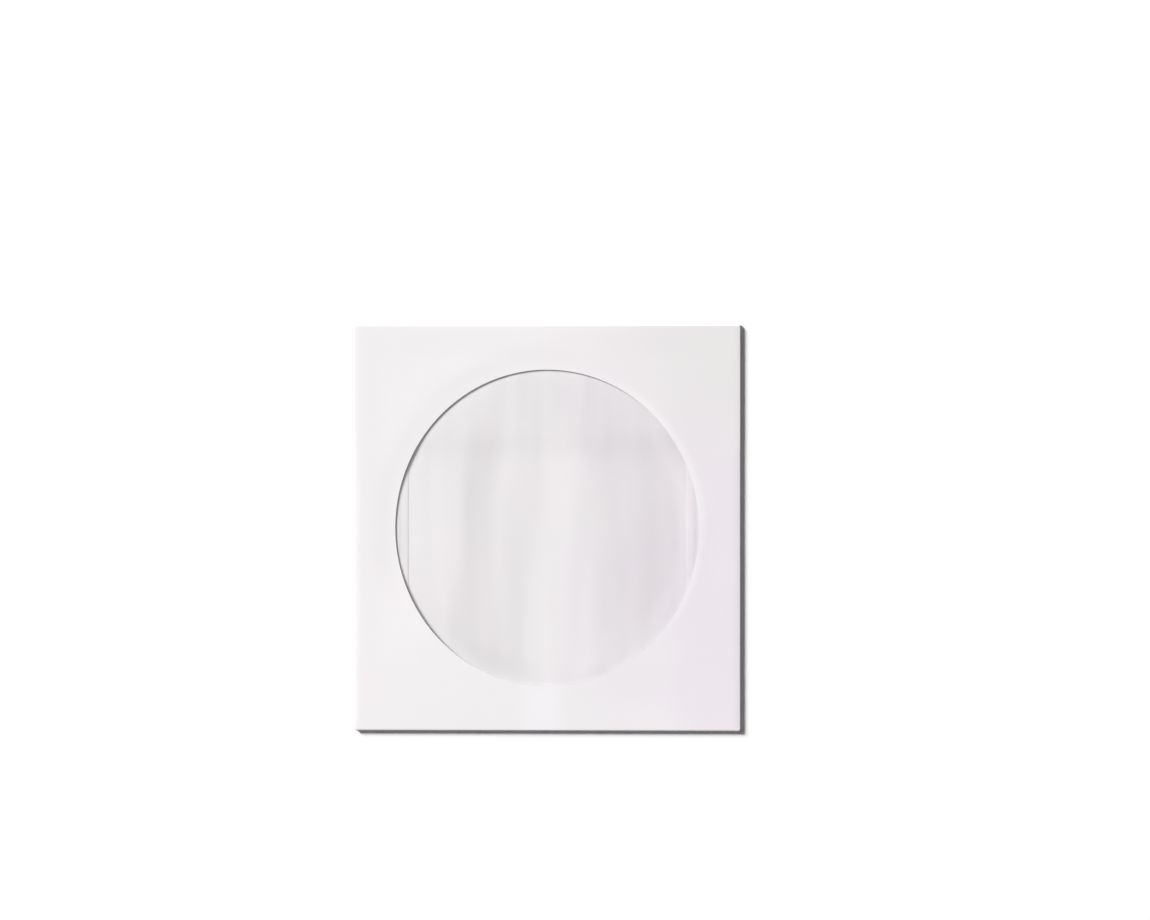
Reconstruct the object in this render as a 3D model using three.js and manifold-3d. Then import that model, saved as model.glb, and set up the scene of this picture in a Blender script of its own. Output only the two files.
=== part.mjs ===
// A paper sleeve for one compact disc: one die-cut sheet of white paper, folded and glued into a
// flat pocket, with a round window in its front panel and a clear film behind the window.
//
// Millimetres, +Z up. The sleeve lies on its back with the window up. +Y points to the top fold,
// where the closing flap turns under the back panel. The origin is under the middle of the sleeve,
// on the surface that it lies on.
//
// The sheet is modelled as it is made. The front panel is in the middle of the blank. The back
// panel hangs on its bottom fold, the closing flap on its top fold and a seam tab on each of its
// sides. The tabs fold in first, then the back panel folds up and is glued to them.

import * as THREE from "three";
import { mergeVertices } from "three/addons/utils/BufferGeometryUtils.js";
import Module from "manifold-3d";

// Sleeve, outside
const SLEEVE_WIDTH = 125;
const SLEEVE_HEIGHT = 126;
const PAPER_THICKNESS = 0.12;

// Creases: the sleeve's height along its folds, and how far the empty pocket springs open in the
// middle of the front panel above them
const CREASE_HEIGHT = 0.75;
const BOW_HEIGHT = 0.4;

// Round window in the front panel, and the clear film glued behind it
const WINDOW_DIAMETER = 98;
const FILM_THICKNESS = 0.05;
const FILM_LAP = 6;
const FILM_GLUE = 0.03;

// Closing flap, folded under the back panel: its depth from the top fold, how much each side
// draws in, and its rounded corners. It lies loose, with a small gap to the back panel.
const FLAP_DEPTH = 33;
const FLAP_TAPER = 9.7;
const FLAP_CORNER_RADIUS = 5;
const FLAP_GAP = 0.05;

// The back panel rests on the table and climbs over the flap's free edge in this run
const CLIMB_RUN = 9;

// Back panel: how far its sides stand in from the sleeve's sides, and the throat at its top,
// which is cut down in the middle so that a thumb finds the disc
const BACK_INSET_BOTTOM = 1.6;
const BACK_INSET_TOP = 3.8;
const BACK_CORNER_DROP = 1;
const THROAT_DEPTH = 6.5;
const THROAT_SHOULDER = 16;

// Seam tabs, glued inside the back panel
const TAB_WIDTH = 17.5;
const TAB_RELIEF = 0.4;
const TAB_END_SKEW = 5.5;
const SEAM_GLUE = 0.04;
const SEAM_MARGIN = 2;

// Facets
const FOLD_STEPS = 6;
const CORNER_STEPS = 5;
const CLIMB_STEPS = 3;
const SHOULDER_STEPS = 3;
const PANEL_STEPS = 8;
const PANEL_ROWS = 12;
const FILM_STEPS = 10;
const WINDOW_STEPS = 120;

// Where the middle of the paper's thickness runs
const half = PAPER_THICKNESS / 2;
const foldReach = (CREASE_HEIGHT - PAPER_THICKNESS) / 2;
const sideCrease = SLEEVE_WIDTH / 2 - half - foldReach;
const endCrease = SLEEVE_HEIGHT / 2 - half - foldReach;
const flapEdge = SLEEVE_HEIGHT / 2 - FLAP_DEPTH;
const tabEnd = endCrease - TAB_RELIEF;
const creaseLevel = CREASE_HEIGHT - half;
const tableLevel = half;
const overFlapLevel = half + PAPER_THICKNESS + FLAP_GAP;

// Evenly spaced values from one number to another, both included
function steps(from, to, count) {
  return Array.from({ length: count + 1 }, (_, k) => THREE.MathUtils.lerp(from, to, k / count));
}

// A list of numbers in falling order, without doubles
function falling(values) {
  const tidy = values.map((v) => Number(v.toFixed(6)));
  return [...new Set(tidy)].sort((a, b) => b - a);
}

// The front panel's level: it rises from all four creases to the middle
function frontLevel(x, y) {
  const across = 1 - (x / sideCrease) ** 2;
  const along = 1 - (y / endCrease) ** 2;
  return creaseLevel + BOW_HEIGHT * across * along;
}

// The back panel's level: on the table, then over the closing flap
function backLevel(y) {
  const climbed = THREE.MathUtils.smoothstep(y, flapEdge - CLIMB_RUN, flapEdge);
  return THREE.MathUtils.lerp(tableLevel, overFlapLevel, climbed);
}

// The seam tabs' level, on the glue inside the back panel
function tabLevel(y) {
  return backLevel(y) + PAPER_THICKNESS + SEAM_GLUE;
}

// A sheet that starts as the surface through the middle of its thickness. It is put together from
// patches of four-sided cells, which join wherever their edges meet.
class Sheet {
  constructor() {
    this.points = [];
    this.normals = [];
    this.cells = [];
    this.known = new Map();
  }

  // The number of the vertex at a place, which is a new one if none is there yet
  vertex([point, normal]) {
    const key = point.toArray().map((v) => v.toFixed(4)).join();
    if (!this.known.has(key)) {
      this.known.set(key, this.points.length);
      this.points.push(point);
      this.normals.push(normal.normalize());
    }
    return this.known.get(key);
  }

  // A patch of cells. place gives the point and the outward normal for a row and a column, and the
  // outside is where a row's direction crossed with a column's points.
  patch(rows, columns, place) {
    const grid = rows.map((row) => columns.map((column) => this.vertex(place(row, column))));
    for (let i = 0; i + 1 < rows.length; i++)
      for (let j = 0; j + 1 < columns.length; j++)
        this.cells.push([grid[i][j], grid[i + 1][j], grid[i + 1][j + 1], grid[i][j + 1]]);
    return this;
  }

  // The closed shell of this thickness around the surface
  thicken(thickness) {
    const count = this.points.length;
    const position = [];
    for (const side of [0.5, -0.5])
      this.points.forEach((point, k) => {
        position.push(...point.clone().addScaledVector(this.normals[k], side * thickness).toArray());
      });

    const index = [];
    const edges = new Set();
    for (const [a, b, c, d] of this.cells) {
      index.push(a, b, c, a, c, d);
      index.push(a + count, c + count, b + count, a + count, d + count, c + count);
      for (const edge of [[a, b], [b, c], [c, d], [d, a]]) edges.add(edge.join());
    }
    for (const edge of edges) {
      const [a, b] = edge.split(",").map(Number);
      if (edges.has([b, a].join())) continue;
      index.push(b, a, a + count, b, a + count, b + count);
    }
    return new THREE.BufferGeometry()
      .setAttribute("position", new THREE.Float32BufferAttribute(position, 3))
      .setIndex(index);
  }
}

const UP = () => new THREE.Vector3(0, 0, 1);
const DOWN = () => new THREE.Vector3(0, 0, -1);

// A crease as half of an ellipse between two levels. It starts at the upper level and bulges along
// outward. Returns the point and the normal at an angle that runs from +90 to -90 degrees.
function crease(base, outward, upper, lower, angle) {
  const middle = (upper + lower) / 2;
  const rise = (upper - lower) / 2;
  const point = base.clone().addScaledVector(outward, foldReach * Math.cos(angle));
  point.z = middle + rise * Math.sin(angle);
  const normal = outward.clone().multiplyScalar(Math.cos(angle) / foldReach);
  normal.z = Math.sin(angle) / rise;
  return [point, normal];
}

// Half of the flap's outline, from its free edge to the top fold, as [half width, y]
function flapOutline() {
  const foot = new THREE.Vector2(sideCrease, endCrease);
  const side = new THREE.Vector2(-FLAP_TAPER, flapEdge - endCrease).normalize();
  const inward = new THREE.Vector2(side.y, -side.x);
  const along = (flapEdge - foot.y + FLAP_CORNER_RADIUS * (1 - inward.y)) / side.y;
  const centre = foot
    .clone()
    .addScaledVector(side, along)
    .addScaledVector(inward, FLAP_CORNER_RADIUS);
  const arc = steps(-Math.PI / 2, Math.atan2(-inward.y, -inward.x), CORNER_STEPS).map((angle) => [
    centre.x + FLAP_CORNER_RADIUS * Math.cos(angle),
    centre.y + FLAP_CORNER_RADIUS * Math.sin(angle),
  ]);
  return [...arc, [foot.x, foot.y]];
}

// The columns that every panel shares, as shares of its half width. The outer ones shape the
// throat's shoulders.
const shoulder = 1 - THROAT_SHOULDER / (SLEEVE_WIDTH / 2);
const columns = [
  ...steps(-1, -shoulder, SHOULDER_STEPS).slice(0, -1),
  ...steps(-shoulder, shoulder, PANEL_STEPS),
  ...steps(shoulder, 1, SHOULDER_STEPS).slice(1),
];

// The rows at which the paper climbs over the flap's edge, and the rows of the front panel
const climbRows = steps(flapEdge, flapEdge - CLIMB_RUN, CLIMB_STEPS);
const tabRows = falling([...steps(tabEnd, -tabEnd, PANEL_ROWS), ...climbRows]);
const frontRows = falling([endCrease, ...tabRows, -endCrease]);

// The back panel's half width
function backHalfWidth(y) {
  const share = (y + endCrease) / (2 * endCrease);
  return SLEEVE_WIDTH / 2 - THREE.MathUtils.lerp(BACK_INSET_BOTTOM, BACK_INSET_TOP, share);
}

// The back panel's top edge: low in the middle, and up to its corners over the shoulders
function throatEdge(column) {
  const corner = endCrease - BACK_CORNER_DROP;
  const low = SLEEVE_HEIGHT / 2 - THROAT_DEPTH;
  const inFromCorner = Math.min(1, (1 - Math.abs(column)) / (1 - shoulder));
  return THREE.MathUtils.lerp(corner, low, Math.sin((inFromCorner * Math.PI) / 2));
}

// The whole folded blank, from the flap's free edge to the throat, and its two tabs
function foldedBlank() {
  const sheet = new Sheet();
  const north = new THREE.Vector3(0, 1, 0);
  const south = new THREE.Vector3(0, -1, 0);
  const quarter = Math.PI / 2;

  sheet.patch(flapOutline(), columns, ([halfWidth, y], column) => [
    new THREE.Vector3(column * halfWidth, y, tableLevel),
    DOWN(),
  ]);
  sheet.patch(steps(-quarter, quarter, FOLD_STEPS), columns, (angle, column) => {
    const base = new THREE.Vector3(column * sideCrease, endCrease, 0);
    return crease(base, north, creaseLevel, tableLevel, angle);
  });
  sheet.patch(frontRows, columns, (y, column) => [
    new THREE.Vector3(column * sideCrease, y, frontLevel(column * sideCrease, y)),
    UP(),
  ]);
  sheet.patch(steps(quarter, -quarter, FOLD_STEPS), columns, (angle, column) => {
    const turned = (quarter - angle) / (2 * quarter);
    const halfWidth = THREE.MathUtils.lerp(sideCrease, backHalfWidth(-endCrease), turned);
    const base = new THREE.Vector3(column * halfWidth, -endCrease, 0);
    return crease(base, south, creaseLevel, tableLevel, angle);
  });
  sheet.patch([-endCrease, ...climbRows.toReversed(), "throat"], columns, (row, column) => {
    const y = row === "throat" ? throatEdge(column) : row;
    const x = column * backHalfWidth(y);
    return [new THREE.Vector3(x, y, backLevel(y)), DOWN()];
  });
  for (const side of [-1, 1]) addTab(sheet, side);
  return sheet;
}

// A seam tab: its fold along the front panel's side, then the tab with its slanted ends
function addTab(sheet, side) {
  const outward = new THREE.Vector3(side, 0, 0);
  const inOrder = (list) => (side > 0 ? list : list.toReversed());
  const fold = steps(Math.PI / 2, -Math.PI / 2, FOLD_STEPS);
  sheet.patch(tabRows, inOrder(fold), (y, angle) => {
    const base = new THREE.Vector3(side * sideCrease, y, 0);
    return crease(base, outward, creaseLevel, tabLevel(y), angle);
  });
  const tabColumns = [sideCrease, SLEEVE_WIDTH / 2 - TAB_WIDTH];
  sheet.patch(tabRows, inOrder(tabColumns), (row, x) => {
    const atEnd = Math.abs(row) === tabRows[0] && x !== sideCrease;
    const y = atEnd ? row - Math.sign(row) * TAB_END_SKEW : row;
    return [new THREE.Vector3(side * x, y, tabLevel(y)), DOWN()];
  });
}

// The glue between one tab and the back panel, a little deeper than the gap so that it bonds both
function seamGlue(side) {
  const bite = PAPER_THICKNESS / 4;
  const inner = SLEEVE_WIDTH / 2 - TAB_WIDTH + SEAM_MARGIN;
  const outer = SLEEVE_WIDTH / 2 - BACK_INSET_TOP - SEAM_MARGIN;
  const top = SLEEVE_HEIGHT / 2 - THROAT_DEPTH - SEAM_MARGIN;
  const bottom = -tabEnd + TAB_END_SKEW + SEAM_MARGIN;
  const across = [side * inner, side * outer].sort((a, b) => a - b);
  return new Sheet()
    .patch([top, ...climbRows, bottom], across, (y, x) => [
      new THREE.Vector3(x, y, backLevel(y) + half + SEAM_GLUE / 2),
      UP(),
    ])
    .thicken(SEAM_GLUE + 2 * bite);
}

// The cutter for the round window, clear of the back panel and the tabs
function windowCutter() {
  const bottom = (tabLevel(endCrease) + creaseLevel) / 2;
  const top = 2 * (creaseLevel + BOW_HEIGHT);
  const radius = WINDOW_DIAMETER / 2;
  return new THREE.CylinderGeometry(radius, radius, top - bottom, WINDOW_STEPS)
    .rotateX(Math.PI / 2)
    .translate(0, 0, (top + bottom) / 2);
}

// The window film: a square of clear film that follows the front panel from inside
function windowFilm() {
  const reach = WINDOW_DIAMETER / 2 + FILM_LAP;
  const drop = half + FILM_GLUE + FILM_THICKNESS / 2;
  return new Sheet()
    .patch(steps(reach, -reach, FILM_STEPS), steps(-reach, reach, FILM_STEPS), (y, x) => [
      new THREE.Vector3(x, y, frontLevel(x, y) - drop),
      UP(),
    ])
    .thicken(FILM_THICKNESS);
}

const wasm = await Module();
wasm.setup();

// A three.js geometry as a solid that can be joined and cut
function toSolid(geometry) {
  const bare = new THREE.BufferGeometry()
    .setAttribute("position", geometry.getAttribute("position"))
    .setIndex(geometry.index);
  const merged = mergeVertices(bare);
  return new wasm.Manifold(
    new wasm.Mesh({
      numProp: 3,
      vertProperties: merged.attributes.position.array,
      triVerts: new Uint32Array(merged.index.array),
    }),
  );
}

// A solid as a three.js geometry
function toGeometry(solid) {
  const { vertProperties, triVerts } = solid.getMesh();
  const geometry = new THREE.BufferGeometry()
    .setAttribute("position", new THREE.BufferAttribute(vertProperties, 3))
    .setIndex(new THREE.BufferAttribute(triVerts, 1));
  geometry.computeVertexNormals();
  return geometry;
}

// The folded sheet with its window cut out and its two seams glued
function paperSleeve() {
  return toGeometry(
    toSolid(foldedBlank().thicken(PAPER_THICKNESS))
      .subtract(toSolid(windowCutter()))
      .add(toSolid(seamGlue(-1)))
      .add(toSolid(seamGlue(1))),
  );
}

const paper = new THREE.MeshStandardMaterial({ color: 0xf0eff1, roughness: 0.9, metalness: 0 });
const film = new THREE.MeshStandardMaterial({
  color: 0xf4f4f6,
  roughness: 0.12,
  metalness: 0,
  transparent: true,
  opacity: 0.3,
});

const sleeve = new THREE.Group();
sleeve.name = "cd_sleeve";

const folded = new THREE.Mesh(paperSleeve(), paper);
folded.name = "folded_paper";
sleeve.add(folded);

const pane = new THREE.Mesh(windowFilm(), film);
pane.name = "window_film";
sleeve.add(pane);

export default sleeve;
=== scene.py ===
import logging
import math
from collections.abc import Callable, Iterable, Sequence
from dataclasses import dataclass
from enum import Enum
from typing import Any

import bmesh
import bpy
from mathutils import Euler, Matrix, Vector


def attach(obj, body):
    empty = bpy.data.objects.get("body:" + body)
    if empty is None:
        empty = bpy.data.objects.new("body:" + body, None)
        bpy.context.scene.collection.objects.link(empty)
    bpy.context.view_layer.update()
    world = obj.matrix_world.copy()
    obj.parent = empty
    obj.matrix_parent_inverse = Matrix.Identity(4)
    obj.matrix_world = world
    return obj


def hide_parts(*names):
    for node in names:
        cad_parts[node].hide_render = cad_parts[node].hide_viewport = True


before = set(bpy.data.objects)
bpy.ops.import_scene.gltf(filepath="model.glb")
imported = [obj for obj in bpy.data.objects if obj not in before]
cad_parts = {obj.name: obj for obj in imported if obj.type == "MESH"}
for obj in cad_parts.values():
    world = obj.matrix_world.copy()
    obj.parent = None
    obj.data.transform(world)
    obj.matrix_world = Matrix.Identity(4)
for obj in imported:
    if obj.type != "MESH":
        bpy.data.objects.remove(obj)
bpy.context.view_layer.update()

log = logging.getLogger("cd_sleeve")

MM = 0.001
BODY = "root"

Colour = tuple[float, float, float, float]
Span = tuple[float, float]
Stretch = tuple[float, float, float]


class Slot(Enum):
    """The record's material slots."""

    PAPER = "white_paper"
    FILM = "clear_film"


class Part(Enum):
    """What an edit operator works on."""

    VERT = "VERT"
    EDGE = "EDGE"
    FACE = "FACE"


# Shader nodes


class Wire:
    """A node's output socket, on which the usual operators add Math nodes."""

    def __init__(self, nodes: "Nodes", socket: bpy.types.NodeSocket | None) -> None:
        """Wrap a socket.

        Args:
            nodes: The material's nodes.
            socket: The output socket, or None for a node that ends the tree.
        """
        self.nodes = nodes
        self.socket = socket

    def _math(self, operation: str, *values: "Wire | float") -> "Wire":
        """A Math node on these values, in their order."""
        return self.nodes.add("ShaderNodeMath", {"operation": operation}, dict(enumerate(values)))

    def __add__(self, other: "Wire | float") -> "Wire":
        """Sum."""
        return self._math("ADD", self, other)

    def __sub__(self, other: "Wire | float") -> "Wire":
        """Difference."""
        return self._math("SUBTRACT", self, other)

    def __rsub__(self, other: float) -> "Wire":
        """Difference from a number."""
        return self._math("SUBTRACT", other, self)

    def __mul__(self, other: "Wire | float") -> "Wire":
        """Product."""
        return self._math("MULTIPLY", self, other)

    def __truediv__(self, other: "Wire | float") -> "Wire":
        """Quotient."""
        return self._math("DIVIDE", self, other)

    __radd__ = __add__
    __rmul__ = __mul__

    def larger(self, other: "Wire | float") -> "Wire":
        """The larger of the two."""
        return self._math("MAXIMUM", self, other)

    def smaller(self, other: "Wire | float") -> "Wire":
        """The smaller of the two."""
        return self._math("MINIMUM", self, other)

    def size(self) -> "Wire":
        """The value without its sign."""
        return self._math("ABSOLUTE", self)

    def step(self, low: float, high: float) -> "Wire":
        """A smooth step.

        Args:
            low: Where it is 0.
            high: Where it is 1.

        Returns:
            The step, from 0 to 1.
        """
        return self.nodes.add(
            "ShaderNodeMapRange",
            {"interpolation_type": "SMOOTHSTEP"},
            {"Value": self, "From Min": low, "From Max": high},
        )


class Nodes:
    """The nodes of one material or world."""

    def __init__(self, owner: bpy.types.Material | bpy.types.World) -> None:
        """Start from an empty tree.

        Args:
            owner: The material or world.
        """
        owner.use_nodes = True
        self.tree = owner.node_tree
        self.tree.nodes.clear()

    def add(
        self,
        kind: str,
        settings: dict[str, Any] | None = None,
        inputs: dict[str | int, Any] | None = None,
        output: str | int = 0,
    ) -> Wire:
        """Add a node.

        Args:
            kind: The node's type.
            settings: Its settings.
            inputs: Values or wires for its sockets, by name or number.
            output: The output socket that is wanted.

        Returns:
            The wire from that output.
        """
        node = self.tree.nodes.new(kind)
        for name, value in (settings or {}).items():
            setattr(node, name, value)
        for name, value in (inputs or {}).items():
            if isinstance(value, Wire):
                self.tree.links.new(value.socket, node.inputs[name])
            else:
                node.inputs[name].default_value = value
        return Wire(self, node.outputs[output] if node.outputs else None)

    def place(self) -> Wire:
        """The point on the piece, in millimetres in the row frame."""
        metres = self.add("ShaderNodeTexCoord", output="Object")
        return self.add("ShaderNodeVectorMath", {"operation": "SCALE"}, {0: metres, "Scale": 1 / MM})

    def stretched(self, place: Wire, scale: Sequence[float]) -> Wire:
        """The place with each axis scaled."""
        return self.add("ShaderNodeVectorMath", {"operation": "MULTIPLY"}, {0: place, 1: scale})

    def axes(self, place: Wire) -> list[Wire]:
        """The x, y and z of a place."""
        split = self.add("ShaderNodeSeparateXYZ", inputs={0: place})
        return [Wire(self, socket) for socket in split.socket.node.outputs]

    def radius(self, place: Wire) -> Wire:
        """The distance from the upright axis."""
        flat = self.stretched(place, (1.0, 1.0, 0.0))
        return self.add("ShaderNodeVectorMath", {"operation": "LENGTH"}, {0: flat}, "Value")

    def noise(self, place: Wire, size: float, detail: float = 2.0, rough: float = 0.5) -> Wire:
        """Soft noise from 0 to 1.

        Args:
            place: The point that it is read at, in millimetres.
            size: How large its lumps are, in millimetres.
            detail: How many finer layers it has.
            rough: How strong they are.

        Returns:
            The noise.
        """
        return self.add(
            "ShaderNodeTexNoise",
            inputs={"Vector": place, "Scale": 1 / size, "Detail": detail, "Roughness": rough},
        )

    def blend(self, share: Wire | float, first: Any, second: Any) -> Wire:
        """A colour between two.

        Args:
            share: 0 for the first and 1 for the second.
            first: A colour, or a wire of one.
            second: The same.

        Returns:
            The colour.
        """
        node = self.tree.nodes.new("ShaderNodeMix")
        node.data_type = "RGBA"
        # The Mix node takes colours by sockets 6 and 7 and gives one by socket 2.
        for socket, value in ((0, share), (6, first), (7, second)):
            if isinstance(value, Wire):
                self.tree.links.new(value.socket, node.inputs[socket])
            else:
                node.inputs[socket].default_value = value
        return Wire(self, node.outputs[2])

    def bump(self, height: Wire, depth: float) -> Wire:
        """A normal from a height.

        Args:
            height: The height, from 0 to 1.
            depth: What 1 stands for, in millimetres.

        Returns:
            The normal.
        """
        return self.add(
            "ShaderNodeBump", inputs={"Height": height, "Distance": depth * MM, "Strength": 1.0}
        )

    def close(self, shader: Wire) -> None:
        """Lead the shader to the material's output."""
        self.add("ShaderNodeOutputMaterial", inputs={"Surface": shader})


def tint(red: float, green: float, blue: float) -> Colour:
    """A colour with full alpha."""
    return red, green, blue, 1.0


@dataclass(frozen=True)
class PaperFinish:
    """Smooth white uncoated paper. Places and sizes are in millimetres."""

    white: Colour = tint(0.885, 0.868, 0.876)
    lilac: Colour = tint(0.852, 0.797, 0.850)
    blush: Colour = tint(0.895, 0.862, 0.870)
    painted_shade_grey: Colour = tint(0.820, 0.795, 0.800)
    painted_highlight: Colour = tint(0.925, 0.905, 0.925)
    shadow: Colour = tint(0.790, 0.745, 0.785)
    cut: Colour = tint(0.460, 0.450, 0.455)
    drift_size: float = 42.0
    blush_size: float = 29.4
    blush_drift: Span = (0.42, 0.68)
    lilac_x: Span = (-15.0, 60.0)
    lilac_least: float = 0.35
    lilac_drift: Span = (0.3, 0.6)
    painted_shade_x: Span = (5.0, 45.0)
    painted_shade_y: Span = (10.0, 48.0)
    cloud_size: float = 7.0
    cloud_tone: float = 0.012
    fibre_size: float = 0.35
    fibre_stretch: Stretch = (1.0, 0.35, 1.0)
    fibre_tone: float = 0.02
    fibre_relief: float = 0.7
    grain: float = 0.008
    rough: float = 0.82
    rough_spread: float = 0.12
    index: float = 1.45
    gloss: float = 0.3
    front_z: Span = (0.5, 0.55)
    window: float = 49.0
    cut_shade_run: Span = (0.01, 0.04)
    rim_highlight_run: Span = (0.3, 3.2)
    rim_highlight_x: Span = (15.0, 38.0)
    rim_highlight_y: Span = (-42.0, -18.0)
    rim_highlight_share: float = 0.6
    fold_highlight_x: float = -1.5
    fold_highlight_run: Span = (2.0, 10.0)
    fold_highlight_y: Span = (-52.0, -40.0)
    fold_highlight_share: float = 0.8
    shadow_line_x: float = 47.6
    shadow_line_run: Span = (0.2, 0.9)
    shadow_line_z: Span = (0.14, 0.26)
    shadow_line_share: float = 0.7

    def material(self) -> bpy.types.Material:
        """Build the material.

        Returns:
            The paper.
        """
        material = bpy.data.materials.new(Slot.PAPER.value)
        nodes = Nodes(material)
        place = nodes.place()
        mirrored = nodes.stretched(place, (1.0, -1.0, 1.0))
        combed = nodes.stretched(place, self.fibre_stretch)
        drift = nodes.noise(place, self.drift_size, detail=1.0)
        other = nodes.noise(mirrored, self.blush_size, detail=1.0)
        cloud = nodes.noise(place, self.cloud_size, detail=3.0, rough=0.6)
        fibre = nodes.noise(combed, self.fibre_size, detail=3.0, rough=0.65)
        x, y, z = nodes.axes(place)
        drifting = self.lilac_least + (1 - self.lilac_least) * drift.step(*self.lilac_drift)
        ground = nodes.blend(other.step(*self.blush_drift), self.white, self.blush)
        # The paper turns lilac towards the right. It also gets darker there, which is partly painted
        # shade for the light falling off to the right.
        ground = nodes.blend(x.step(*self.lilac_x) * drifting, ground, self.lilac)
        # Painted shade: the upper right of the paper is painted a darker grey, standing in for the
        # light falling off there.
        ground = nodes.blend(x.step(*self.painted_shade_x) * y.step(*self.painted_shade_y), ground, self.painted_shade_grey)
        # Painted highlights: the right of the window's rim and a band at the bottom middle are
        # painted brighter.
        ground = nodes.blend(self._painted_highlights(nodes, place), ground, self.painted_highlight)
        # Painted shade: a dark line on the tabs just inside the window's rim, where shade falls
        # under the front panel.
        ground = nodes.blend(self._painted_shadow_line(x, z), ground, self.shadow)
        # Painted shade: the window's cut edge is painted dark.
        ground = nodes.blend(self._cut_shade(nodes, place), ground, self.cut)
        shade = 1.0 - cloud * self.cloud_tone - fibre * self.fibre_tone
        colour = nodes.add(
            "ShaderNodeVectorMath", {"operation": "SCALE"}, {0: ground, "Scale": shade}
        )
        relief = fibre * self.fibre_relief + cloud * (1 - self.fibre_relief)
        shader = nodes.add(
            "ShaderNodeBsdfPrincipled",
            inputs={
                "Base Color": colour,
                "Roughness": self.rough + fibre * self.rough_spread,
                "IOR": self.index,
                "Specular IOR Level": self.gloss,
                "Normal": nodes.bump(relief, self.grain),
            },
        )
        nodes.close(shader)
        return material

    def _painted_highlights(self, nodes: Nodes, place: Wire) -> Wire:
        """Where highlights are painted onto the paper: a painted highlight along the window's cut
        rim on the right, and a painted light band along a soft fold at the bottom middle.

        Args:
            nodes: The material's nodes.
            place: The point on the piece.

        Returns:
            The share, from 0 to 1.
        """
        x, y, z = nodes.axes(place)
        near, far = (self.window + run for run in self.rim_highlight_run)
        # Painted highlight along the right of the window's rim.
        rim = (1.0 - nodes.radius(place).step(near, far)) * z.step(*self.front_z)
        rim = rim * x.step(*self.rim_highlight_x) * y.step(*self.rim_highlight_y)
        # Painted light band down the bottom middle.
        fold = 1.0 - (x - self.fold_highlight_x).size().step(*self.fold_highlight_run)
        fold = fold * (1.0 - y.step(*self.fold_highlight_y))
        return (rim * self.rim_highlight_share).larger(fold * self.fold_highlight_share)

    def _cut_shade(self, nodes: Nodes, place: Wire) -> Wire:
        """Where the window's cut edge is painted darker, as painted shade that dims the light on its
        thin wall.

        Args:
            nodes: The material's nodes.
            place: The point on the piece.

        Returns:
            The share, from 0 to 1.
        """
        near, far = (self.window + run for run in self.cut_shade_run)
        front = nodes.axes(place)[2].step(*self.front_z)
        return (1.0 - nodes.radius(place).step(near, far)) * front

    def _painted_shadow_line(self, x: Wire, z: Wire) -> Wire:
        """Where a painted shadow line darkens the tabs just inside the window's rim, standing in for
        the shade between the front panel and the tabs.

        Args:
            x: The point's x.
            z: The point's z.

        Returns:
            The share, from 0 to 1.
        """
        # The painted shadow line on each side.
        line = 1.0 - (x.size() - self.shadow_line_x).size().step(*self.shadow_line_run)
        pocket = z.step(*self.shadow_line_z) * (1.0 - z.step(*self.front_z))
        return line * pocket * self.shadow_line_share


@dataclass(frozen=True)
class FilmFinish:
    """Clear glossy plastic film. Sizes are in millimetres."""

    clear: Colour = tint(0.990, 0.988, 0.989)
    haze: Colour = tint(0.86, 0.84, 0.88)
    shine: Colour = tint(1.0, 1.0, 1.0)
    haze_rough: float = 0.6
    haze_least: float = 0.018
    haze_spread: float = 0.024
    index: float = 1.49
    most_mirror: float = 0.13
    ripple_size: float = 11.0
    ripple_stretch: Stretch = (1.0, 0.16, 1.0)
    ripple_depth: float = 0.07
    streak_size: float = 2.2
    streak_stretch: Stretch = (1.0, 0.05, 1.0)
    streak_depth: float = 0.04
    rough: float = 0.05
    rough_spread: float = 0.07

    def material(self) -> bpy.types.Material:
        """Build the material.

        Returns:
            The film.
        """
        material = bpy.data.materials.new(Slot.FILM.value)
        nodes = Nodes(material)
        place = nodes.place()
        long, fine = (
            nodes.stretched(place, stretch) for stretch in (self.ripple_stretch, self.streak_stretch)
        )
        ripple = nodes.noise(long, self.ripple_size, detail=1.0)
        streak = nodes.noise(fine, self.streak_size, detail=1.0)
        outer = 1.0 - nodes.add("ShaderNodeNewGeometry", output="Backfacing")
        mirror = nodes.add("ShaderNodeFresnel", inputs={"IOR": self.index})
        through = nodes.add("ShaderNodeBsdfTransparent", inputs={"Color": self.clear})
        milk = nodes.add(
            "ShaderNodeBsdfPrincipled",
            inputs={
                "Base Color": self.haze,
                "Roughness": self.haze_rough,
                "Specular IOR Level": 0.0,
            },
        )
        gloss = nodes.add(
            "ShaderNodeBsdfPrincipled",
            inputs={
                "Base Color": self.shine,
                "Metallic": 1.0,
                "Roughness": self.rough + streak * self.rough_spread,
                "Normal": nodes.bump(ripple + streak * self.streak_depth, self.ripple_depth),
            },
        )
        cloud = self.haze_least + self.haze_spread * ripple
        body = nodes.add("ShaderNodeMixShader", inputs={0: cloud, 1: through, 2: milk})
        # Both of the film's faces mirror, so its share is larger than one face's.
        both = 2.0 * mirror / (1.0 + mirror)
        share = outer * both.smaller(self.most_mirror)
        nodes.close(nodes.add("ShaderNodeMixShader", inputs={0: share, 1: body, 2: gloss}))
        return material


# Modelling


def clear_bench() -> None:
    """Leave edit mode and deselect everything."""
    if bpy.context.mode != "OBJECT":
        bpy.ops.object.mode_set(mode="OBJECT")
    bpy.ops.object.select_all(action="DESELECT")


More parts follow.
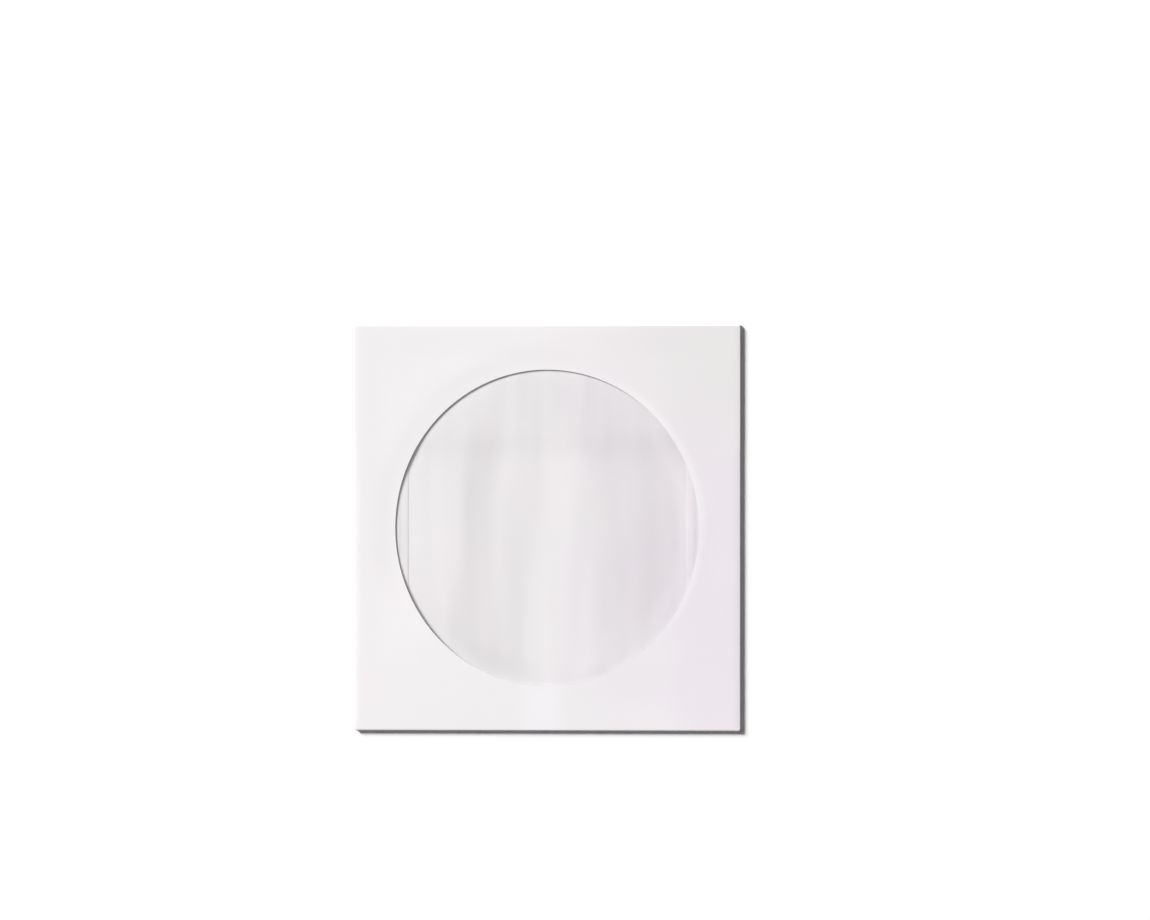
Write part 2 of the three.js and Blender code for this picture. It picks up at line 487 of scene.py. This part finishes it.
class Work:
    """A mesh that is being modelled, in edit mode until it is done. Sizes are in millimetres."""

    weld = 0.004
    sharp_angle = 40.0

    def __init__(self, name: str) -> None:
        """Take the new primitive, which is active, in hand.

        Args:
            name: The piece's name.
        """
        self.obj = bpy.context.active_object
        self.obj.name = name
        self.obj.data.name = name
        bpy.ops.object.transform_apply(location=True, rotation=True, scale=True)
        bpy.ops.object.mode_set(mode="EDIT")
        bpy.ops.mesh.select_all(action="DESELECT")

    def pick(self, part: Part, test: Callable[[Vector], bool], rim: bool = False) -> int:
        """Select what lies at a place, and only that.

        Args:
            part: Vertices, edges or faces.
            test: Takes the point, or the middle of an edge or a face, in millimetres.
            rim: Only edges with one face.

        Returns:
            How many are selected.
        """
        bpy.ops.mesh.select_mode(type=part.value)
        bpy.ops.mesh.select_all(action="DESELECT")
        mesh = bmesh.from_edit_mesh(self.obj.data)
        count = 0
        elements = {Part.VERT: mesh.verts, Part.EDGE: mesh.edges, Part.FACE: mesh.faces}[part]
        for element in elements:
            if part is Part.VERT:
                middle = element.co
            elif part is Part.EDGE:
                middle = (element.verts[0].co + element.verts[1].co) / 2
                if rim and not element.is_boundary and not element.is_wire:
                    continue
            else:
                middle = element.calc_center_median()
            if test(middle / MM):
                element.select = True
                count += 1
        mesh.select_flush_mode()
        bmesh.update_edit_mesh(self.obj.data)
        return count

    def move(self, x: float = 0.0, y: float = 0.0, z: float = 0.0) -> None:
        """Move what is selected."""
        bpy.ops.transform.translate(value=(x * MM, y * MM, z * MM))

    def resize(self, scale: Sequence[float], centre: Sequence[float] = (0, 0, 0)) -> None:
        """Scale what is selected about a point."""
        bpy.ops.transform.resize(value=scale, center_override=[c * MM for c in centre])

    def pull(self, x: float = 0.0, y: float = 0.0, z: float = 0.0) -> None:
        """Extrude the selected edges and keep the new ones selected."""
        bpy.ops.mesh.extrude_edges_move(TRANSFORM_OT_translate={"value": (x * MM, y * MM, z * MM)})

    def fold(self, centre: Sequence[float], axis: Sequence[float], steps: int) -> None:
        """Turn the selected edges half a turn about a crease's axis, as a round fold.

        Args:
            centre: A point on the axis.
            axis: The axis. The turn is clockwise, seen along it.
            steps: How many facets the fold has.
        """
        bpy.ops.mesh.spin(
            steps=steps, angle=math.pi, center=[c * MM for c in centre], axis=axis, dupli=False
        )

    def press(self, name: str, height: float, weight: Callable[[Vector], float]) -> None:
        """Raise the mesh by a Displace modifier through painted weights.

        Args:
            name: The weights' name.
            height: How far a weight of 1 goes up, in millimetres.
            weight: The weight at a point, from 0 to 1.
        """
        bpy.ops.object.mode_set(mode="OBJECT")
        group = self.obj.vertex_groups.new(name=name)
        for vertex in self.obj.data.vertices:
            share = min(1.0, max(0.0, weight(vertex.co / MM)))
            if share > 0:
                group.add([vertex.index], share, "REPLACE")
        lift = self.obj.modifiers.new(name, "DISPLACE")
        lift.direction = "Z"
        lift.mid_level = 0.0
        lift.strength = height * MM
        lift.vertex_group = name
        bpy.ops.object.modifier_apply(modifier=name)
        self.obj.vertex_groups.clear()
        bpy.ops.object.mode_set(mode="EDIT")

    def done(self, thickness: float, material: bpy.types.Material) -> bpy.types.Object:
        """Give the sheet its thickness, smooth it and dress it.

        Args:
            thickness: The sheet's thickness.
            material: Its finish.

        Returns:
            The piece.
        """
        bpy.ops.mesh.select_mode(type="VERT")
        bpy.ops.mesh.select_all(action="SELECT")
        bpy.ops.mesh.remove_doubles(threshold=self.weld * MM)
        bpy.ops.mesh.normals_make_consistent(inside=False)
        bpy.ops.object.mode_set(mode="OBJECT")
        solid = self.obj.modifiers.new("thickness", "SOLIDIFY")
        solid.thickness = thickness * MM
        solid.offset = 0.0
        solid.use_even_offset = True
        bpy.ops.object.modifier_apply(modifier="thickness")
        bpy.ops.object.shade_smooth_by_angle(angle=math.radians(self.sharp_angle))
        self.obj.data.materials.clear()
        self.obj.data.materials.append(material)
        return self.obj


def steps(start: float, end: float, count: int) -> list[float]:
    """Evenly spaced values after the first, up to the last.

    Args:
        start: The value before them.
        end: The last value.
        count: How many there are.

    Returns:
        The values.
    """
    return [start + (end - start) * k / count for k in range(1, count + 1)]


def smooth(value: float, low: float, high: float) -> float:
    """A smooth step from 0 at low to 1 at high."""
    share = min(1.0, max(0.0, (value - low) / (high - low)))
    return share * share * (3 - 2 * share)


@dataclass(frozen=True)
class Dent:
    """A shallow dip in the front panel, in millimetres."""

    x: float
    y: float
    radius: float
    depth: float

    def at(self, point: Vector) -> float:
        """How deep it is at a point."""
        away = math.hypot(point.x - self.x, point.y - self.y)
        return self.depth * (1 - smooth(away, 0, self.radius))


@dataclass
class Shape:
    """The sizes that the paper and the film share, in millimetres."""

    width: float = 125.0
    height: float = 126.0
    paper: float = 0.12
    crease: float = 0.75
    bow: float = 0.4
    window: float = 98.0
    crease_run: float = 11.0
    dents: tuple[Dent, ...] = (Dent(57, -10, 15, 0.07), Dent(30, -54, 20, 0.05))
    hug: float = 0.22
    hug_bearing: float = 130.0
    hug_spread: Span = (60.0, 95.0)
    hug_run: Span = (-27.0, -5.0)
    hug_outside: float = 8.0
    hug_lost: float = 0.5

    @property
    def reach(self) -> float:
        """How far a fold stands out beyond its crease, to the paper's middle."""
        return (self.crease - self.paper) / 2

    @property
    def side(self) -> float:
        """Where the side creases start."""
        return self.width / 2 - self.paper / 2 - self.reach

    @property
    def end(self) -> float:
        """Where the top and bottom creases start."""
        return self.height / 2 - self.paper / 2 - self.reach

    @property
    def top(self) -> float:
        """The front panel's level at its creases."""
        return self.crease - self.paper / 2

    def bowed(self, point: Vector) -> float:
        """How far the front panel has risen at a point.

        Args:
            point: The point, in millimetres.

        Returns:
            The share of its bow.
        """
        across = 1 - (point.x / self.side) ** 2
        along = 1 - (point.y / self.end) ** 2
        return max(0.0, across) * max(0.0, along)

    def free(self, point: Vector) -> float:
        """How free of the creases the paper is at a point, from 0 to 1."""
        across = smooth(self.side - abs(point.x), 0, self.crease_run)
        return across * smooth(self.end - abs(point.y), 0, self.crease_run)

    def hugging(self, point: Vector) -> float:
        """How close the front and back are drawn at a point, from 0 to 1.

        They are drawn together along the upper left of the window's rim.

        Args:
            point: The point, in millimetres.

        Returns:
            The share.
        """
        rim = self.window / 2
        aside = math.degrees(math.atan2(point.y, point.x)) - self.hug_bearing
        aside = abs((aside + 180) % 360 - 180)
        share = 1 - smooth(aside, *self.hug_spread)
        start, full = (rim + run for run in self.hug_run)
        return share * smooth(point.xy.length, start, full) * self.free(point)

    def sunk(self, point: Vector) -> float:
        """How deep the front panel sinks at a point.

        Args:
            point: The point, in millimetres.

        Returns:
            The depth, in millimetres.
        """
        rim = self.window / 2
        outside = smooth(point.xy.length, rim, rim + self.hug_outside)
        hug = self.hug * (1 - self.hug_lost * outside)
        dents = self.free(point) * sum(dent.at(point) for dent in self.dents)
        return hug * self.hugging(point) + dents


@dataclass
class PaperSleeve:
    """The die-cut sheet, folded and glued into a pocket.

    Sizes are in millimetres. Places are picked to within near or, where that is enough, loose.
    """

    shape: Shape
    finish: PaperFinish
    flap_depth: float = 33.0
    flap_taper: float = 9.7
    flap_corner: float = 5.0
    flap_gap: float = 0.05
    climb: float = 9.0
    back_inset_bottom: float = 1.6
    back_inset_top: float = 3.8
    back_corner_drop: float = 1.0
    throat_depth: float = 6.5
    throat_shoulder: float = 16.0
    tab_width: float = 17.5
    tab_relief: float = 0.4
    tab_skew: float = 5.5
    tab_free: float = 2.5
    tab_press: float = 0.105
    seam_glue: float = 0.04
    bulge: float = 0.20
    bulge_run: Span = (-3.0, 5.0)
    bulge_lost: float = 0.8
    cells: int = 64
    hole_cells: int = 54
    window_rings: int = 6
    fold_steps: int = 10
    tab_rows: int = 5
    flap_rows: int = 10
    flap_corner_rows: int = 9
    back_rows: int = 58
    last_back_row: float = 1.0
    near: float = 0.005
    loose: float = 0.1

    @property
    def flap_edge(self) -> float:
        """The y of the flap's free edge."""
        return self.shape.height / 2 - self.flap_depth

    @property
    def rise(self) -> float:
        """How far the back panel climbs to lie over the flap."""
        return self.shape.paper + self.flap_gap

    def build(self) -> bpy.types.Object:
        """Model the sheet, starting with the front panel.

        Returns:
            The piece.
        """
        work = self._front_panel()
        for side in (1, -1):
            self._seam_tab(work, side)
        self._closing_flap(work)
        self._back_panel(work)
        work.press("bulge", self.bulge, self._bulged)
        piece = work.done(self.shape.paper, self.finish.material())
        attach(piece, BODY)
        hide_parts("folded_paper")
        return piece

    def _front_panel(self) -> Work:
        """The bowed front panel with its round window.

        Returns:
            The work, with the front panel in it.
        """
        shape = self.shape
        clear_bench()
        bpy.ops.mesh.primitive_grid_add(
            x_subdivisions=self.cells, y_subdivisions=self.cells, size=2 * MM
        )
        work = Work("paper_sleeve")
        work.pick(Part.VERT, lambda p: True)
        end = shape.end - self.tab_relief
        work.resize((shape.side, end, 1.0))
        work.move(z=shape.top)
        for way in (1, -1):
            work.pick(Part.EDGE, lambda p: way * p.y > end - self.near, rim=True)
            work.pull(y=way * self.tab_relief)
        share = self.hole_cells / self.cells
        half_cell_on = (self.hole_cells + 0.5) / self.cells
        work.pick(
            Part.FACE,
            lambda p: abs(p.x) < shape.side * share and abs(p.y) < end * share,
        )
        bpy.ops.mesh.delete(type="FACE")
        bpy.ops.mesh.primitive_circle_add(
            vertices=4 * self.hole_cells,
            radius=shape.window / 2 * MM,
            fill_type="NOTHING",
            location=(0, 0, shape.top * MM),
        )
        work.pick(
            Part.EDGE,
            lambda p: p.xy.length < shape.window / 2 + self.loose
            or max(abs(p.x) / shape.side, abs(p.y) / end) < half_cell_on,
            rim=True,
        )
        bpy.ops.mesh.bridge_edge_loops(
            type="SINGLE", number_cuts=self.window_rings, interpolation="LINEAR"
        )
        work.press("bow", shape.bow, shape.bowed)
        work.press("dents", -1.0, shape.sunk)
        return work

    def _back_level(self, y: float) -> float:
        """The back panel's level, on the table and then over the flap.

        Args:
            y: How far up the sleeve, in millimetres.

        Returns:
            The height of the paper's middle, in millimetres.
        """
        climbed = smooth(y, self.flap_edge - self.climb, self.flap_edge)
        return self.shape.paper / 2 + climbed * self.rise

    def _bulged(self, point: Vector) -> float:
        """How far the back panel and the tabs bulge up at a point, from 0 to 1.

        Args:
            point: The point, in millimetres.

        Returns:
            The share, which is 0 on the front panel and the flap.
        """
        shape = self.shape
        front = point.z > shape.top - shape.paper
        flap = point.y > self.flap_edge - self.loose and point.z < shape.paper
        if front or flap:
            return 0.0
        start, full = (shape.window / 2 + run for run in self.bulge_run)
        outside = smooth(point.xy.length, start, full)
        return shape.hugging(point) * (1 - self.bulge_lost * outside)

    def _back_half(self, y: float) -> float:
        """The back panel's half width.

        Args:
            y: How far up the sleeve, in millimetres.

        Returns:
            Half of its width there, in millimetres.
        """
        share = (y + self.shape.end) / (2 * self.shape.end)
        inset = self.back_inset_bottom + (self.back_inset_top - self.back_inset_bottom) * share
        return self.shape.width / 2 - inset

    def _seam_tab(self, work: Work, side: int) -> None:
        """One side fold and its seam tab.

        Args:
            work: The sheet.
            side: 1 for the right and -1 for the left.
        """
        shape = self.shape
        end = shape.end - self.tab_relief
        low = shape.paper * 1.5 + self.seam_glue
        radius = (shape.top - low) / 2
        count = work.pick(
            Part.EDGE,
            lambda p: side * p.x > shape.side - self.near and abs(p.y) < end - self.near,
            rim=True,
        )
        log.info("side fold on %d edges", count)
        work.fold((side * shape.side, 0, shape.top - radius), (0, -side, 0), self.fold_steps)
        self._check_level(work, low)
        inner = shape.width / 2 - self.tab_width
        start = shape.side
        done = 1.0
        free = inner + self.tab_free
        for x in steps(start, free, self.tab_rows) + [inner]:
            work.pull(x=side * (x - start), z=-self.tab_press if x == inner else 0.0)
            length = 1 - self.tab_skew / end * (shape.side - x) / (shape.side - inner)
            work.resize((1.0, length / done, 1.0))
            start, done = x, length
        work.pick(Part.VERT, lambda p: side * p.x > shape.side + self.near)
        work.resize((shape.reach / radius, 1.0, 1.0), (side * shape.side, 0, 0))
        work.press("tab climb", self.rise, lambda p: self._tab_climb(p, side, radius))

    def _tab_climb(self, point: Vector, side: int, radius: float) -> float:
        """How far a tab rises with the back panel at a point.

        Args:
            point: The point, in millimetres.
            side: 1 for the right tab and -1 for the left.
            radius: Its fold's radius, in millimetres.

        Returns:
            The share of the back panel's rise, which fades out round the fold.
        """
        shape = self.shape
        inner = shape.width / 2 - self.tab_width
        if side * point.x < inner - self.loose or point.z > shape.top - self.near:
            return 0.0
        climbed = (self._back_level(point.y) - self._back_level(-shape.end)) / self.rise
        return climbed * min(1.0, (shape.top - point.z) / (2 * radius))

    def _check_level(self, work: Work, level: float) -> None:
        """Stop if a fold went the wrong way.

        Args:
            work: The sheet, with the fold's last edge selected.
            level: Where that edge should be.
        """
        mesh = bmesh.from_edit_mesh(work.obj.data)
        heights = [v.co.z / MM for v in mesh.verts if v.select]
        if not heights:
            raise ValueError("a fold found no edge to turn")
        if max(abs(height - level) for height in heights) > self.near:
            raise ValueError(f"a fold ends at {min(heights):.3f} to {max(heights):.3f}, not {level}")

    def _closing_flap(self, work: Work) -> None:
        """The top fold and the closing flap under the back panel.

        Args:
            work: The sheet.
        """
        shape = self.shape
        table = shape.paper / 2
        work.pick(
            Part.EDGE,
            lambda p: p.y > shape.end - self.near and abs(p.z - shape.top) < self.near,
            rim=True,
        )
        work.fold((0, shape.end, (shape.top + table) / 2), (1, 0, 0), self.fold_steps)
        self._check_level(work, table)
        half, y = shape.side, shape.end
        for next_half, next_y in self._flap_outline():
            work.pull(y=next_y - y)
            work.resize((next_half / half, 1.0, 1.0))
            half, y = next_half, next_y

    def _flap_outline(self) -> list[tuple[float, float]]:
        """Half of the flap's outline from the top fold to its free edge.

        Returns:
            Half width and y of each row.
        """
        edge, corner = self.flap_edge, self.flap_corner
        foot = Vector((self.shape.side, self.shape.end))
        side = Vector((-self.flap_taper, edge - foot.y)).normalized()
        inward = Vector((side.y, -side.x))
        along = (edge - foot.y + corner * (1 - inward.y)) / side.y
        start = foot + side * along
        centre = start + inward * corner
        rows = [tuple(foot.lerp(start, share)) for share in steps(0, 1, self.flap_rows)]
        first = math.atan2(-inward.y, -inward.x)
        for angle in steps(first, -math.pi / 2, self.flap_corner_rows):
            x, y = math.cos(angle), math.sin(angle)
            rows.append((centre.x + corner * x, centre.y + corner * y))
        return rows

    def _back_panel(self, work: Work) -> None:
        """The bottom fold and the back panel up to its throat.

        Args:
            work: The sheet.
        """
        shape = self.shape
        table = shape.paper / 2
        middle = (shape.top + table) / 2
        work.pick(
            Part.EDGE,
            lambda p: p.y < -shape.end + self.near and abs(p.z - shape.top) < self.near,
            rim=True,
        )
        work.fold((0, -shape.end, middle), (-1, 0, 0), self.fold_steps)
        self._check_level(work, table)
        narrow = self._back_half(-shape.end) / shape.side
        for k in range(1, self.fold_steps + 1):
            angle = math.pi * k / self.fold_steps
            level = middle + shape.reach * math.cos(angle)
            work.pick(
                Part.VERT,
                lambda p: p.y < -shape.end + self.near and abs(p.z - level) < self.near,
            )
            work.resize((1 + (narrow - 1) * k / self.fold_steps, 1.0, 1.0))
        low = shape.height / 2 - self.throat_depth
        y, half = -shape.end, self._back_half(-shape.end)
        work.pick(
            Part.EDGE,
            lambda p: abs(p.y + shape.end) < self.near and abs(p.z - table) < self.near,
            rim=True,
        )
        for next_y in steps(-shape.end, low - self.last_back_row, self.back_rows) + [low]:
            work.pull(y=next_y - y, z=self._back_level(next_y) - self._back_level(y))
            work.resize((self._back_half(next_y) / half, 1.0, 1.0))
            y, half = next_y, self._back_half(next_y)
        self._shoulders(work, low, half)

    def _shoulders(self, work: Work, low: float, half: float) -> None:
        """Raise the throat's ends to the back panel's corners.

        Args:
            work: The sheet.
            low: The throat's height in the middle.
            half: The back panel's half width there.
        """
        level = self._back_level(low)
        high = self.shape.end - self.back_corner_drop
        inner = 1 - self.throat_shoulder / (self.shape.width / 2)
        for k in range(self.cells // 2 + 1):
            column = k / (self.cells // 2)
            if column <= inner:
                continue
            turn = (1 - column) / (1 - inner) * math.pi / 2
            x = column * half
            work.pick(
                Part.VERT,
                lambda p: abs(abs(p.x) - x) < self.loose
                and abs(p.y - low) < self.loose
                and abs(p.z - level) < self.near,
            )
            work.move(y=(high - low) * (1 - math.sin(turn)))


@dataclass(frozen=True)
class Ripple:
    """A small wave in the film. Its lengths are the millimetres to a radian."""

    share: float
    along_x: float
    along_y: float
    phase: float = 0.0

    def at(self, point: Vector) -> float:
        """How much it adds to the sag's share at a point."""
        return self.share * math.sin(point.x / self.along_x + point.y / self.along_y + self.phase)


@dataclass
class WindowFilm:
    """The square of clear film behind the window. Sizes are in millimetres."""

    shape: Shape
    finish: FilmFinish
    thickness: float = 0.05
    lap: float = 6.0
    glue: float = 0.03
    cells: int = 110
    sag: float = 0.34
    slack_mean: float = 0.4
    slack_swing: float = 0.36
    slack_within: float = 0.84
    slack_hugged: float = 0.9
    wave: float = 57.0
    crest: float = 4.0
    lean: float = 0.25
    lean_length: float = 19.0
    taut_x: Span = (8.0, 26.0)
    taut_share: float = 0.65
    ripples: tuple[Ripple, ...] = (Ripple(0.06, 3.1, -27.0, 1.9), Ripple(0.07, 17.0, 9.0))

    def build(self) -> bpy.types.Object:
        """Model the film.

        Returns:
            The piece.
        """
        shape = self.shape
        reach = shape.window / 2 + self.lap
        clear_bench()
        bpy.ops.mesh.primitive_grid_add(
            x_subdivisions=self.cells, y_subdivisions=self.cells, size=2 * MM
        )
        work = Work("window_film_clear")
        work.pick(Part.VERT, lambda p: True)
        work.resize((reach, reach, 1.0))
        work.move(z=shape.top - shape.paper / 2 - self.glue - self.thickness / 2)
        work.press("bow", shape.bow, shape.bowed)
        work.press("dents", -1.0, shape.sunk)
        work.press("waves", -self.sag, self._waves)
        piece = work.done(self.thickness, self.finish.material())
        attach(piece, BODY)
        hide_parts("window_film")
        return piece

    def _waves(self, point: Vector) -> float:
        """How slack the film hangs at a point: long waves up and down it, none at its glued rim.

        Args:
            point: The point, in millimetres.

        Returns:
            The share of its sag.
        """
        rim = self.shape.window / 2
        free = 1 - smooth(point.xy.length, self.slack_within * rim, rim)
        free *= 1 - self.slack_hugged * self.shape.hugging(point)
        lean = self.lean * math.sin(point.y / self.lean_length)
        turn = math.tau * (point.x - self.crest) / self.wave + lean
        wave = self.slack_mean - self.slack_swing * math.sin(turn)
        wave += sum(ripple.at(point) for ripple in self.ripples)
        return free * wave * (1 - self.taut_share * smooth(point.x, *self.taut_x))


# Stage


@dataclass
class Studio:
    """The pale floor, the lights and the camera.

    Sizes are in millimetres, turns in degrees and places in the picture in pixels. The softbox and
    the ceiling begin and end at an x and a z of the direction that is looked in.
    """

    white: Colour = tint(1.0, 1.0, 1.0)
    floor_grey: Colour = tint(0.82, 0.82, 0.82)
    floor_size: float = 40000.0
    floor_drop: float = 0.04
    turn: float = 16.2
    frame_width: float = 356.5
    picture: tuple[int, int] = (1150, 920)
    seen_at: tuple[float, float] = (547.5, 527.8)
    lens: float = 1000.0
    sensor: float = 36.0
    clip: Span = (50.0, 100000.0)
    key_level: float = 0.875
    fill_level: float = 0.15
    key_height: float = 19.0
    key_bearing: float = 140.0
    key_softness: float = 18.0
    box_x: Span = (-0.325, -0.235)
    box_dim: float = 0.3
    box_bright: float = 2.0
    ceiling_z: Span = (0.80, 0.93)
    walls: float = 0.75

    def build(self) -> None:
        """Set up the whole stage."""
        self._floor()
        self._world()
        self._lights()
        self._camera()

    def _floor(self) -> None:
        """A wide floor that shows white to the camera and keeps the shadow."""
        clear_bench()
        bpy.ops.mesh.primitive_plane_add(
            size=self.floor_size * MM, location=(0, 0, -self.floor_drop * MM)
        )
        floor = bpy.context.active_object
        floor.name = "floor"
        material = bpy.data.materials.new("floor_white")
        nodes = Nodes(material)
        path = nodes.add("ShaderNodeLightPath", output="Is Camera Ray")
        colour = nodes.blend(path, self.floor_grey, self.white)
        nodes.close(nodes.add("ShaderNodeBsdfDiffuse", inputs={"Color": colour}))
        floor.data.materials.append(material)

    def _world(self) -> None:
        """A world that lights softly and looks white."""
        world = bpy.data.worlds.new("studio")
        bpy.context.scene.world = world
        nodes = Nodes(world)
        camera, glossy, passing = (
            nodes.add("ShaderNodeLightPath", output=name)
            for name in ("Is Camera Ray", "Is Glossy Ray", "Is Transmission Ray")
        )
        sideways, _, upward = nodes.axes(nodes.add("ShaderNodeTexCoord", output="Generated"))
        softbox = 1.0 - sideways.step(*self.box_x)
        above = self.box_dim + (self.box_bright - self.box_dim) * softbox
        ceiling = upward.step(*self.ceiling_z)
        mirrored = self.walls + ceiling * (above - self.walls)
        seen = camera.larger(passing)
        strength = self.fill_level + (1 - self.fill_level) * seen
        strength = strength + glossy * (mirrored - self.fill_level)
        background = nodes.add(
            "ShaderNodeBackground", inputs={"Color": self.white, "Strength": strength}
        )
        nodes.add("ShaderNodeOutputWorld", inputs={"Surface": background})

    def _lights(self) -> None:
        """One soft key light from the upper left."""
        height = math.radians(self.key_height)
        bearing = math.radians(self.key_bearing)
        toward = Vector(
            (
                math.cos(height) * math.cos(bearing),
                math.cos(height) * math.sin(bearing),
                math.sin(height),
            )
        )
        clear_bench()
        bpy.ops.object.light_add(type="SUN", location=toward)
        sun = bpy.context.active_object
        sun.name = "key"
        sun.rotation_euler = toward.to_track_quat("Z", "Y").to_euler()
        sun.data.energy = self.key_level * math.pi / math.sin(height)
        sun.data.angle = math.radians(self.key_softness)
        sun.visible_glossy = False

    def _camera(self) -> None:
        """A long lens that looks down, turned a little about the sleeve's upright axis."""
        scene = bpy.context.scene
        data = bpy.data.cameras.new("camera")
        data.lens = self.lens
        data.sensor_width = self.sensor
        data.clip_start, data.clip_end = (distance * MM for distance in self.clip)
        camera = bpy.data.objects.new("camera", data)
        scene.collection.objects.link(camera)
        turn = Euler((0, math.radians(self.turn), 0))
        right, up, back = (turn.to_matrix().col[k] for k in range(3))
        pixel = self.frame_width / self.picture[0]
        aside = (self.picture[0] / 2 - self.seen_at[0]) * pixel * MM
        above = (self.seen_at[1] - self.picture[1] / 2) * pixel * MM
        away = self.frame_width * MM * self.lens / self.sensor
        camera.location = right * aside + up * above + back * away
        camera.rotation_euler = turn
        scene.camera = camera


def main() -> None:
    """Build the stage and the sleeve."""
    logging.basicConfig(level=logging.INFO, format="%(message)s")
    bpy.context.scene.view_settings.view_transform = "Standard"
    Studio().build()
    shape = Shape()
    for maker in (PaperSleeve(shape, PaperFinish()), WindowFilm(shape, FilmFinish())):
        piece = maker.build()
        log.info("%s: %d faces", piece.name, len(piece.data.polygons))


if __name__ == "__main__":
    main()
